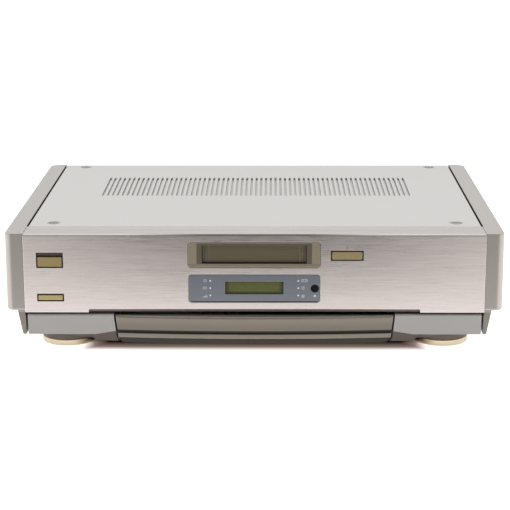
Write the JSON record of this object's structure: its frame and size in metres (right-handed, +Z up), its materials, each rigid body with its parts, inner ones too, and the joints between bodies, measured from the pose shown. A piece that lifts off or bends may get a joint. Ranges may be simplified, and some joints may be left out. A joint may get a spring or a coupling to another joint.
{
  "type": "video cassette recorder",
  "caption": "Compact 8 mm format video cassette recorder with a front cassette slot, a display and a motor driven control tray.",
  "frame": {"origin": "middle of the bounding box, on the ground under the feet", "axes": "+Z up, +Y towards the rear panel, +X to the right seen from the front"},
  "size_m": [0.464, 0.3578, 0.1148],
  "materials": {
    "champagne_alu": "fine horizontal brushing, champagne anodised",
    "cover_paint": "fine matt pale grey",
    "side_paint": "satin metallic grey",
    "wing_plastic": "satin metallic grey",
    "tray_plastic": "satin metallic taupe",
    "subframe_plastic": "warm grey moulded",
    "black_plastic": "black moulded",
    "olive_plastic": "olive satin",
    "smoked_plastic": "smoked",
    "gold_plastic": "gold satin",
    "window_plastic": "blue-grey print behind clear",
    "lcd_glass": "green liquid crystal",
    "steel_sheet": "zinc plated",
    "steel_pin": "ground",
    "black_steel": "black zinc",
    "gold_metal": "polished gold plating",
    "rubber": "soft",
    "cup_plastic": "dark grey moulded",
    "board": "green lacquer",
    "core_steel": "varnished laminations",
    "drum_alu": "polished",
    "clear_plastic": "clear",
    "ir_plastic": "infrared black",
    "acetal": "natural acetal",
    "motor_steel": "plated can"
  },
  "bodies": {
    "case": {"ac_inlet": "black_plastic", "av_jacks": "black_plastic", "base_pan": "steel_sheet", "case_screws": "steel_pin", "cassette_bezel": "olive_plastic", "cover_screws": "steel_pin", "display_window": "window_plastic", "flap_pin": "steel_pin", "foot_cups": "cup_plastic", "foot_pads": "rubber", "foot_rings": "gold_metal", "front_boards": "board", "front_panel": "champagne_alu", "front_subframe": "subframe_plastic", "head_drum_lower": "drum_alu", "ir_receiver": "ir_plastic", "lcd_module": "lcd_glass", "light_pipes": "clear_plastic", "loading_motor": "motor_steel", "main_boards": "board", "mecha_base": "steel_sheet", "power_board": "board", "power_ledge": "olive_plastic", "rear_panel": "black_steel", "round_sockets": "black_plastic", "side_panel_left": "side_paint", "side_panel_right": "side_paint", "top_cover": "cover_paint", "transformer": "core_steel", "tray_belt": "rubber", "tray_guides": "acetal", "tray_motor": "motor_steel", "wing_left": "wing_plastic", "wing_right": "wing_plastic"},
    "power_button": {"power_button": "gold_plastic"},
    "panel_button": {"panel_button": "gold_plastic"},
    "eject_button": {"eject_button": "gold_plastic"},
    "flap": {"cassette_flap": "smoked_plastic"},
    "carriage": {"carriage": "steel_sheet"},
    "holder": {"cassette_holder": "steel_sheet"},
    "tray": {"tray_fascia": "tray_plastic", "tray_body": "black_plastic", "tray_deck": "black_plastic", "tray_board": "board"},
    "shuttle": {"shuttle_ring": "tray_plastic"},
    "jog": {"jog_dial": "gold_plastic"},
    "rewind_key": {"rewind_key": "gold_plastic"},
    "play_key": {"play_key": "gold_plastic"},
    "forward_key": {"forward_key": "gold_plastic"},
    "stop_key": {"stop_key": "gold_plastic"},
    "pause_key": {"pause_key": "gold_plastic"},
    "record_key": {"record_key": "gold_plastic"},
    "tray_gear": {"tray_gear": "acetal"},
    "motor_pulley": {"motor_pulley": "acetal"},
    "supply_reel": {"supply_reel": "black_plastic"},
    "takeup_reel": {"takeup_reel": "black_plastic"},
    "head_drum": {"head_drum": "drum_alu"},
    "capstan": {"capstan": "steel_pin"},
    "pinch_arm": {"pinch_arm": "steel_sheet"},
    "pinch_roller": {"pinch_roller": "rubber"}
  },
  "joints": [
    {"name": "power_button_press", "type": "slide", "parent": "case", "child": "power_button", "axis": [0, 1, 0], "range_m": [0, 0.002], "stiffness_N_per_m": 400},
    {"name": "panel_button_press", "type": "slide", "parent": "case", "child": "panel_button", "axis": [0, 1, 0], "range_m": [0, 0.0015], "stiffness_N_per_m": 400},
    {"name": "eject_button_press", "type": "slide", "parent": "case", "child": "eject_button", "axis": [0, 1, 0], "range_m": [0, 0.0015], "stiffness_N_per_m": 400},
    {"name": "flap_hinge", "type": "hinge", "parent": "case", "child": "flap", "pos_m": [0, -0.1682, 0.105], "axis": [1, 0, 0], "range_deg": [0, 90], "stiffness_Nm_per_rad": 0.004, "springref_deg": -34.38},
    {"name": "carriage_slide", "type": "slide", "parent": "case", "child": "carriage", "axis": [0, 1, 0], "range_m": [0, 0.028]},
    {"name": "holder_drop", "type": "slide", "parent": "carriage", "child": "holder", "axis": [0, 0, -1], "range_m": [0, 0.022]},
    {"name": "tray_slide", "type": "slide", "parent": "case", "child": "tray", "axis": [0, -1, 0], "range_m": [0, 0.11]},
    {"name": "shuttle_turn", "type": "hinge", "parent": "tray", "child": "shuttle", "pos_m": [0.072, -0.117, 0.034], "axis": [0, 0, 1], "range_deg": [-75, 75], "stiffness_Nm_per_rad": 0.02},
    {"name": "jog_spin", "type": "hinge", "parent": "tray", "child": "jog", "pos_m": [0.072, -0.117, 0.034], "axis": [0, 0, 1], "continuous": true},
    {"name": "rewind_key_press", "type": "slide", "parent": "tray", "child": "rewind_key", "axis": [0, 0, -1], "range_m": [0, 0.001], "stiffness_N_per_m": 300},
    {"name": "play_key_press", "type": "slide", "parent": "tray", "child": "play_key", "axis": [0, 0, -1], "range_m": [0, 0.001], "stiffness_N_per_m": 300},
    {"name": "forward_key_press", "type": "slide", "parent": "tray", "child": "forward_key", "axis": [0, 0, -1], "range_m": [0, 0.001], "stiffness_N_per_m": 300},
    {"name": "stop_key_press", "type": "slide", "parent": "tray", "child": "stop_key", "axis": [0, 0, -1], "range_m": [0, 0.001], "stiffness_N_per_m": 300},
    {"name": "pause_key_press", "type": "slide", "parent": "tray", "child": "pause_key", "axis": [0, 0, -1], "range_m": [0, 0.001], "stiffness_N_per_m": 300},
    {"name": "record_key_press", "type": "slide", "parent": "tray", "child": "record_key", "axis": [0, 0, -1], "range_m": [0, 0.001], "stiffness_N_per_m": 300},
    {"name": "tray_gear_spin", "type": "hinge", "parent": "case", "child": "tray_gear", "pos_m": [-0.1369, -0.131, 0.024], "axis": [0, 0, 1], "continuous": true},
    {"name": "motor_pulley_spin", "type": "hinge", "parent": "case", "child": "motor_pulley", "pos_m": [-0.184, -0.111, 0.03], "axis": [0, 0, 1], "continuous": true},
    {"name": "supply_reel_spin", "type": "hinge", "parent": "case", "child": "supply_reel", "pos_m": [-0.023, -0.087, 0.05], "axis": [0, 0, 1], "continuous": true},
    {"name": "takeup_reel_spin", "type": "hinge", "parent": "case", "child": "takeup_reel", "pos_m": [0.023, -0.087, 0.05], "axis": [0, 0, 1], "continuous": true},
    {"name": "head_drum_spin", "type": "hinge", "parent": "case", "child": "head_drum", "pos_m": [0, -0.031, 0.06], "axis": [0, 0, 1], "continuous": true},
    {"name": "capstan_spin", "type": "hinge", "parent": "case", "child": "capstan", "pos_m": [0.04, -0.045, 0.05], "axis": [0, 0, 1], "continuous": true},
    {"name": "pinch_arm_swing", "type": "hinge", "parent": "case", "child": "pinch_arm", "pos_m": [0.062, -0.041, 0.06], "axis": [0, 0, 1], "range_deg": [0, 15], "stiffness_Nm_per_rad": 0.05},
    {"name": "pinch_roller_spin", "type": "hinge", "parent": "pinch_arm", "child": "pinch_roller", "pos_m": [0.0495, -0.037, 0.06], "axis": [0, 0, 1], "continuous": true}
  ],
  "couplings": [
    {"joint": "tray_gear_spin", "follows": "tray_slide", "rad_per_m": -125},
    {"joint": "motor_pulley_spin", "follows": "tray_slide", "rad_per_m": -268.75}
  ]
}
